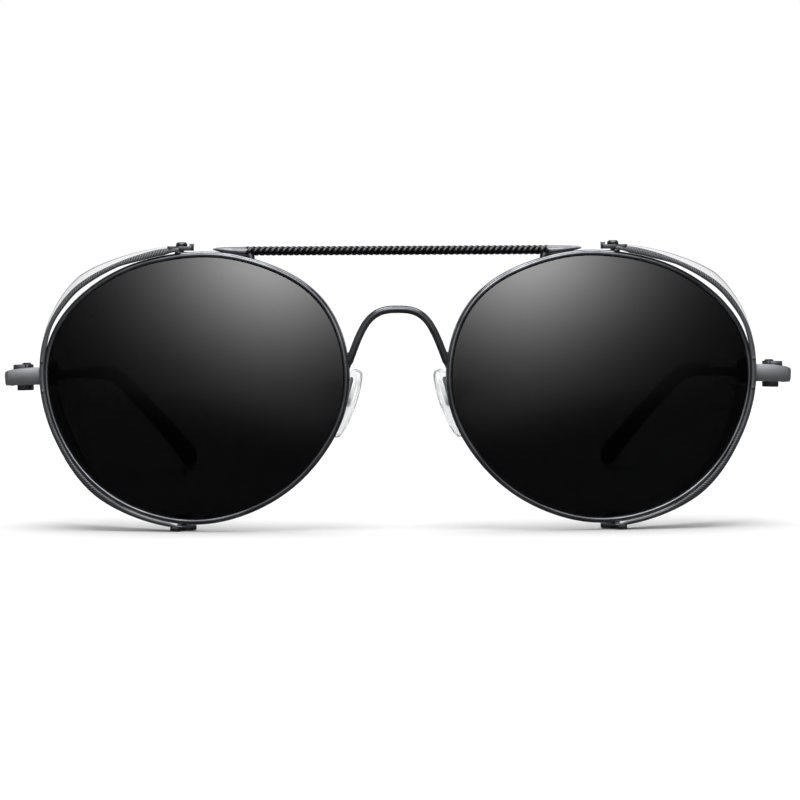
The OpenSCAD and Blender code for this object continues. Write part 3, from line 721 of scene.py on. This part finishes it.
class GLASSES_OT_shields(bpy.types.Operator):
    """Engraved bands and the two pressed wings of each side shield"""
    bl_idname = "glasses.shields"
    bl_label = "Side shields"

    def edges_at(self, a):
        """Inner and outer edge of the band at an angle."""
        t = (a - BAND_FROM) / BAND_STEP
        i = min(int(t), len(BAND_EDGES) - 2)
        return curve_at(BAND_EDGES, i, t - i)

    def band(self, name, side):
        """The engraved band. Its section runs round from the inner back edge."""
        crown, bevel, corner, slope = 0.1, 0.14, 0.16, 0.02
        stations = 220
        bm = bmesh.new()
        rings, run = [], [0]
        for i in range(stations + 1):
            a = BAND_FROM + i * (BAND_TO - BAND_FROM) / stations
            near, far = self.edges_at(a)
            flange = sum(share((a - start) / rise) * share((end - a) / fall)
                         for start, rise, end, fall in FLANGES)
            near -= (near - FLANGE_EDGE) * flange
            middle = (near + far) / 2
            section = [(near, BAND_BACK), (far, BAND_BACK), (far, BAND_FRONT + corner),
                       (far - bevel, BAND_FRONT + slope), (middle + crown, BAND_FRONT),
                       (middle - crown, BAND_FRONT), (near + bevel, BAND_FRONT + slope),
                       (near, BAND_FRONT + corner)]
            rings.append([eye(around(a, n), depth) for n, depth in section])
            if i:
                run.append(run[-1] + (rings[-1][4] - rings[-2][4]).length)
        sweep(bm, rings, side, along=run, across=[0, 1, 1, 0.85, 0.6, 0.4, 0.15, 0])
        finish_mesh(bm, name + "_shield_band_engraved", finish_of("band"), name + "_shield",
                    [name + "_shield_band"], 50)

    def wing(self, name, side, start, end, low):
        """One pressed wing, from one angle of the band to another."""
        bm = bmesh.new()
        rings = []
        columns, rows = 90, 12
        inside, behind, short = 0.03, 0.2, 0.06
        for i in range(columns + 1):
            a = start + i * (end - start) / columns
            n = self.edges_at(a)[1] - inside
            swell = sin(pi * (a - BAND_FROM) / (BAND_TO - BAND_FROM))
            depth = END_DEPTH + (SHIELD_DEPTH - END_DEPTH) * swell
            if low:
                flare = LOWER_LEAN * share((LOWER_FROM - a) / LOWER_GROWS)
            else:
                flare = UPPER_LEAN * share((a - UPPER_FROM) / UPPER_GROWS) ** LEAN_POWER
            root = around(a, n)
            spot = eye(root, BAND_BACK - behind)
            # Forward along the outer face and back along the inner one, both a little short of
            # the rear edge.
            ring, hem = [], []
            for k in range(2 * rows + 2):
                inner = k > rows
                t = (k - rows - 1 if inner else rows - k) / rows
                lean = around(a, n + flare * t ** LEAN_POWER - (SHEET if inner else 0)) - root
                edge = short if k in (0, 2 * rows + 1) else 0
                # How far back each point lies, which places the sheet's painted shade along the
                # rear hem.
                hem.append(t)
                ring.append(spot + Vector((lean.x, t * depth - edge, lean.y)))
            rings.append(ring)
        sweep(bm, rings, side, across=hem)
        round_edges(bm, 60, 0.08, False)
        part = name + ("_lower_wing" if low else "_upper_wing")
        finish_mesh(bm, part + "_sheet", finish_of("sheet"), name + "_shield", [part])

    def rivets(self, name, side):
        """A small rivet above and below the end piece, where the slot between the wings begins."""
        bm = bmesh.new()
        radius, flatness, sunk = 0.4 * MM, 0.5, 0.05
        for a in (SLOT_TOP + 1.2, SLOT_BOTTOM - 0.8):
            spot = eye(around(a, sum(self.edges_at(a)) / 2), BAND_FRONT + sunk)
            head = Matrix.Translation(place(spot, side)) @ Matrix.Diagonal((1, flatness, 1, 1))
            bmesh.ops.create_uvsphere(bm, u_segments=20, v_segments=10, radius=radius, matrix=head)
        finish_mesh(bm, name + "_shield_rivets", finish_of("screw"), name + "_shield", [])

    def execute(self, context):
        end_gap = 1.2
        for name, side in SIDES.items():
            self.band(name, side)
            self.wing(name, side, BAND_FROM + end_gap, SLOT_TOP, False)
            self.wing(name, side, SLOT_BOTTOM, BAND_TO - end_gap, True)
            self.rivets(name, side)
        return {"FINISHED"}


class GLASSES_OT_temples(bpy.types.Operator):
    """Slim spring-metal arms and their polished black tips"""
    bl_idname = "glasses.temples"
    bl_label = "Temples"

    # Middle line of the left temple from its hinge, over the ear and down behind it.
    PATH = curve([
        (71.9, HINGE_DEPTH, 28.1), (71.8, 12, 28.0), (70.6, 30, 27.4), (68.4, 55, 26.7),
        (66.5, 75, 26.2), (64.9, 92, 25.6), (63.6, 101, 24.3), (61.2, 110, 20.7),
        (57.4, 121, 14.6), (53.5, 132, 8.2), (51.5, 140, 4.1), (51.1, 144, 2.6)], 12)
    # The tip's sleeve begins at the first depth, and the arm drawn here ends in it at the second.
    TIP_START, ARM_END = 75, 80
    # Sizes of arm and tip as (depth, size).
    ARM_WIDTH = [(HINGE_DEPTH, 1.3), (30, 1.2), (TIP_START, 1.1), (132, 0.9)]
    ARM_HEIGHT = [(HINGE_DEPTH, 2.8), (11, 2.8), (20, 2.5), (30, 2.4), (TIP_START, 1.7), (79, 1.2),
                  (132, 1)]
    TIP_WIDTH = [(TIP_START, 2.4), (92, 2.8), (121, 3), (140, 3.5)]
    TIP_HEIGHT = [(TIP_START, 2.8), (92, 3.1), (121, 3.7), (140, 4.6)]
    CORNER, TIP_SIDES = 0.45, 28
    # The rounded end of the tip.
    END_LENGTH, END_STEPS, END_TURN = 1.85, 8, 88

    def arm_section(self, p):
        """The arm's soft-cornered rectangle at a point."""
        w, h = between(self.ARM_WIDTH, p.y), between(self.ARM_HEIGHT, p.y)
        corners = [(w / 2, -h / 2), (w / 2, h / 2), (-w / 2, h / 2), (-w / 2, -h / 2)]
        return rounded_corners(corners, self.CORNER)

    def tip_section(self, p, scale=1):
        """The tip's oval at a point."""
        wide, tall = between(self.TIP_WIDTH, p.y), between(self.TIP_HEIGHT, p.y)
        return oval_section(wide * scale, tall * scale, self.TIP_SIDES)

    def execute(self, context):
        arm = rings_along(self.PATH, self.arm_section, UP, lambda p: p.y <= self.ARM_END)
        # The mouth of the sleeve is turned over: its hole's edge, its face and its rounded corner.
        first = next(i for i, p in enumerate(self.PATH) if p.y >= self.TIP_START - 0.01)
        start, along = self.PATH[first], direction(self.PATH, first)
        tip = []
        for back, scale in ((0.02, 0.55), (0, 0.8), (0.12, 0.95)):
            tip.append(ring_at(start + back * along, along, self.tip_section(start, scale), UP))
        tip += rings_along(self.PATH, self.tip_section, UP, lambda p: p.y > start.y)
        # Its end is rounded.
        last = len(self.PATH) - 1
        end, along = self.PATH[last], direction(self.PATH, last)
        for k in range(1, self.END_STEPS + 1):
            t = radians(self.END_TURN * k / self.END_STEPS)
            section = [(x * cos(t), y * cos(t)) for x, y in self.tip_section(end)]
            tip.append(ring_at(end + self.END_LENGTH * sin(t) * along, along, section, UP))
        for name, side in SIDES.items():
            body = name + "_temple"
            bm = bmesh.new()
            sweep(bm, arm, side)
            finish_mesh(bm, name + "_temple_arm_metal", finish_of("gunmetal"), body,
                        [name + "_temple_arm"])
            bm = bmesh.new()
            sweep(bm, tip, side)
            finish_mesh(bm, name + "_temple_tip_sleeve", finish_of("tip"), body,
                        [name + "_temple_tip"], 60)
        return {"FINISHED"}


def from_pad(x, y, z):
    """A point given in the nose pad's own frame."""
    out = x * cos(PAD_LEAN) - z * sin(PAD_LEAN)
    up = x * sin(PAD_LEAN) + z * cos(PAD_LEAN)
    back = y * cos(PAD_SPLAY) - out * sin(PAD_SPLAY)
    return PAD_PLACE + Vector((out * cos(PAD_SPLAY) + y * sin(PAD_SPLAY), back, up))


class GLASSES_OT_pads(bpy.types.Operator):
    """Clear nose pads and the wire arms that hold them"""
    bl_idname = "glasses.pads"
    bl_label = "Nose pads"

    WIDTH, THICKNESS = 7.15, 2.35
    # The moulded-in plate as (up, half its width), from its lower to its upper end.
    PLATE = [(-0.5, 0.3), (-0.3, 0.7), (0.3, 0.95), (1.5, 1), (3, 1), (4.2, 0.95), (4.7, 0.7),
             (4.9, 0.3)]
    PLATE_THICKNESS = 0.4
    HALF_NECK = 0.5
    EYE_RADIUS, ARM_RADIUS = 0.68, 0.44

    def cushion(self, length):
        """The pad's rings from its lower end, which is a little wider, to its upper one."""
        steps, end_turn, fullness, taper = 26, 6, 0.7, 0.1
        rings = []
        for i in range(steps + 1):
            a = radians(end_turn + (180 - 2 * end_turn) * i / steps)
            fill = sin(a) ** fullness
            thick = self.THICKNESS * (0.35 + 0.65 * fill)
            section = oval_section(thick, self.WIDTH * fill * (1 + taper * cos(a)), 32)
            rings.append([from_pad(x, -y, -length / 2 * cos(a)) for x, y in section])
        return rings

    def insert(self):
        """The plate in the pad, its neck and the eye for the cross screw."""
        plate = []
        for z, wide in self.PLATE:
            shift = -0.4 + 0.15 * z
            section = oval_section(self.PLATE_THICKNESS, 2 * wide, 16, 0.5)
            plate.append([from_pad(shift + x, -y, z) for x, y in section])
        half = self.HALF_NECK
        square = ((-half, -half), (half, -half), (half, half), (-half, half))
        neck = [[from_pad(x, y, PAD_SCREW_Z + z) for y, z in square] for x in (0.3, 1.2, 1.9)]
        circle = round_section(self.EYE_RADIUS, 20)
        ear = [[from_pad(PAD_SCREW_X + x, y, PAD_SCREW_Z + z) for x, z in circle]
               for y in (-half, 0, half)]
        return plate, neck, ear

    def execute(self, context):
        cushion = self.cushion(context.scene.glasses_sizes.pad_length)
        # From the rim, back and round to the pad's box.
        path = curve([
            eye(around(356, 0.5), 0.7), (10.9, 1.2, 24.4), (12.6, 2.6, 25.2), (13.6, 4.2, 26.4),
            (13.4, 5.5, 27), from_pad(4.1, 0, PAD_SCREW_Z), from_pad(3.3, 0, PAD_SCREW_Z)], 8)
        wire = round_section(self.ARM_RADIUS, 14)
        arm = rings_along(path, lambda p: wire, Vector((0.2, 0.1, 1)))
        for name, side in SIDES.items():
            body = name + "_pad"
            bm = bmesh.new()
            sweep(bm, cushion, side)
            finish_mesh(bm, name + "_nose_pad_silicone", finish_of("silicone"), body,
                        [name + "_nose_pad"], 80)
            bm = bmesh.new()
            for rings in self.insert():
                sweep(bm, rings, side)
            finish_mesh(bm, name + "_pad_plate", finish_of("insert"), body, [name + "_pad_insert"])
            bm = bmesh.new()
            sweep(bm, arm, side)
            finish_mesh(bm, name + "_pad_arm_wire", finish_of("gunmetal"), "front",
                        [name + "_pad_arm"])
        return {"FINISHED"}


# Stage

def mirrored(tree):
    """1 for a ray that comes off a mirroring face, 0 for one seen direct or through glass."""
    rays = add(tree, "ShaderNodeLightPath").outputs
    return maths(tree, "SUBTRACT", rays["Is Glossy Ray"], rays["Is Transmission Ray"], clamp=True)


def paper(tree):
    """Matt white photo paper."""
    return add(tree, "ShaderNodeBsdfDiffuse", {"Color": linear("#f3f3f3")})


def nothing(tree):
    """What a stage piece shows where it isn't to be seen."""
    return add(tree, "ShaderNodeBsdfTransparent")


def emitter(tree, strength):
    """White light of a strength."""
    return add(tree, "ShaderNodeEmission", {"Color": linear("#ffffff"), "Strength": strength})


class GLASSES_OT_stage(bpy.types.Operator):
    """White floor, soft studio light and the camera"""
    bl_idname = "glasses.stage"
    bl_label = "Stage"

    def softbox(self, name, spot, aim, size, watts, lights_paper):
        """A flat studio light turned to its aim."""
        light = bpy.data.lights.new(name, "AREA")
        light.shape, light.size, light.size_y, light.energy = "RECTANGLE", size[0], size[1], watts
        lamp = put(name, light)
        lamp.location = spot
        lamp.rotation_euler = (Vector(aim) - Vector(spot)).to_track_quat("-Z", "Y").to_euler()
        lamp.visible_diffuse = lights_paper

    def glow(self, tree, on_floor):
        """Brightness of the front softbox, which has its peak high on the cloth and fades outward.
        On the paper before it the same fade is painted as a glow, carried on as seen from the
        lenses."""
        where = add(tree, "ShaderNodeTexCoord").outputs["Object"]
        axes = add(tree, "ShaderNodeSeparateXYZ", {"Vector": where}).outputs
        across, up = axes["X"], axes["Z"]
        # On the paper the fade is painted as a glow, stretched so that the lenses mirror it carried
        # on from the cloth.
        if on_floor:
            nearest = 0.01
            gap = maths(tree, "SUBTRACT", FRONT_Y * MM, axes["Y"])
            gap = maths(tree, "MAXIMUM", gap, nearest)
            stretch = maths(tree, "DIVIDE", SOFTBOX_GAP, gap)
            across = maths(tree, "MULTIPLY", across, stretch)
            up = maths(tree, "MULTIPLY", maths(tree, "SUBTRACT", 1.0, stretch), MIRROR_HEIGHT)
        square = maths(tree, "MULTIPLY_ADD", across, across, GLOW_ROUND)
        aside = maths(tree, "DIVIDE", maths(tree, "SQRT", square), FADE_ASIDE)
        above = maths(tree, "SUBTRACT", up, GLOW_HEIGHT)
        both = maths(tree, "MULTIPLY_ADD", maths(tree, "MULTIPLY", above, above), FADE_UP, aside)
        return maths(tree, "MULTIPLY_ADD", maths(tree, "EXPONENT", both), GLOW_PEAK, GLOW_REST)

    def seen_in_gloss(self, name, plain, glossy):
        """A stage material that shows one shader in reflections and another everywhere else."""
        material = bpy.data.materials.new(name)
        tree = empty_tree(material)
        mixed = add(tree, "ShaderNodeMixShader",
                    {0: mirrored(tree), 1: plain(tree).outputs[0], 2: glossy(tree).outputs[0]})
        add(tree, "ShaderNodeOutputMaterial", {"Surface": mixed.outputs[0]})
        return material

    def sky(self, scene):
        """White surround, dim where the glasses mirror it."""
        scene.world = bpy.data.worlds.new("studio_world")
        tree = empty_tree(scene.world)
        rays = add(tree, "ShaderNodeLightPath").outputs
        clear = maths(tree, "MAXIMUM", rays["Is Camera Ray"], rays["Is Transmission Ray"])
        values = {"Value": clear, "To Min": SKY_LIGHT, "To Max": SKY_SEEN}
        plain = add(tree, "ShaderNodeMapRange", values)
        level = maths(tree, "MULTIPLY_ADD", mirrored(tree), SKY_GLOSS, plain.outputs["Result"])
        white = add(tree, "ShaderNodeBackground", {"Color": linear("#ffffff"), "Strength": level})
        add(tree, "ShaderNodeOutputWorld", {"Surface": white.outputs[0]})

    def stage_piece(self, name, size, material, matrix=Matrix.Identity(4)):
        """A flat square sheet of the stage, size metres from its middle to its edges."""
        bm = bmesh.new()
        bmesh.ops.create_grid(bm, x_segments=1, y_segments=1, size=size, matrix=matrix)
        piece = put(name, mesh_from(bm, name, material))

    def card(self, name, depth, size, material):
        """An upright sheet standing on the floor, across the line of sight."""
        upright = Matrix.Translation((0, depth, size)) @ Matrix.Rotation(radians(90), 4, "X")
        self.stage_piece(name, size, material, upright)

    def execute(self, context):
        scene = context.scene
        scene.view_settings.view_transform = "Standard"
        # White photo paper; where the glasses mirror it, the softbox's fade is painted on it as a
        # glow.
        floor = self.seen_in_gloss(
            "white_paper_floor_painted_glow", paper, lambda tree: emitter(tree, self.glow(tree, True)))
        # Bright diffusion cloth before the glasses, seen only in reflections.
        cloth = self.seen_in_gloss(
            "softbox_cloth", nothing, lambda tree: emitter(tree, self.glow(tree, False)))
        # Plain white card behind the glasses, seen only in reflections.
        white = self.seen_in_gloss(
            "white_backdrop", nothing, lambda tree: emitter(tree, BACKDROP_LIGHT))
        self.stage_piece("floor", FLOOR_SIZE, floor)
        self.card("front_softbox", FRONT_Y * MM - SOFTBOX_GAP, CLOTH_SIZE, cloth)
        self.card("rear_backdrop", BACKDROP_DEPTH, BACKDROP_SIZE, white)
        self.sky(scene)
        sun = bpy.data.lights.new("overhead_light", "SUN")
        sun.energy, sun.angle = SUN_STRENGTH, SUN_ANGLE
        lamp = put("overhead_light", sun)
        lamp.rotation_euler = (SUN_LEAN, 0, 0)
        lamp.visible_glossy = False
        for box in SOFTBOXES:
            self.softbox(*box)

        data = bpy.data.cameras.new("photo_camera")
        data.sensor_width = SENSOR_WIDTH
        data.lens = FOCAL_LENGTH
        data.clip_start = 0.01
        camera = put("photo_camera", data)
        camera.location = place(CAMERA_PLACE)
        down = Matrix.Rotation(radians(90 - CAMERA_DOWN), 3, "X")
        camera.rotation_euler = (down @ Matrix.Rotation(radians(CAMERA_TURN), 3, "Z")).to_euler()
        scene.camera = camera
        return {"FINISHED"}


class GLASSES_PT_panel(bpy.types.Panel):
    """Sizes, looks and one button for each group of pieces"""
    bl_label = "Sunglasses"
    bl_idname = "GLASSES_PT_panel"
    bl_space_type = "VIEW_3D"
    bl_region_type = "UI"
    bl_category = "Sunglasses"

    def draw(self, context):
        for group in (context.scene.glasses_sizes, context.scene.glasses_look):
            # The first two properties are Blender's own.
            for key in group.bl_rna.properties.keys()[2:]:
                self.layout.prop(group, key)
        for maker in MAKERS:
            self.layout.operator(maker.bl_idname)


MAKERS = (GLASSES_OT_stage, GLASSES_OT_rims, GLASSES_OT_lenses, GLASSES_OT_bridge, GLASSES_OT_brow,
          GLASSES_OT_fittings, GLASSES_OT_shields, GLASSES_OT_temples, GLASSES_OT_pads)
CLASSES = (GLASSES_PG_sizes, GLASSES_PG_look, *MAKERS, GLASSES_PT_panel)


def register():
    """Add the classes and their properties to Blender."""
    for item in CLASSES:
        bpy.utils.register_class(item)
    bpy.types.Scene.glasses_sizes = PointerProperty(type=GLASSES_PG_sizes)
    bpy.types.Scene.glasses_look = PointerProperty(type=GLASSES_PG_look)


def unregister():
    """Take them out again."""
    del bpy.types.Scene.glasses_look
    del bpy.types.Scene.glasses_sizes
    for item in reversed(CLASSES):
        bpy.utils.unregister_class(item)


def main():
    """Register the classes and build everything."""
    register()
    for maker in MAKERS:
        group, name = maker.bl_idname.split(".")
        getattr(getattr(bpy.ops, group), name)()


if __name__ == "__main__":
    main()
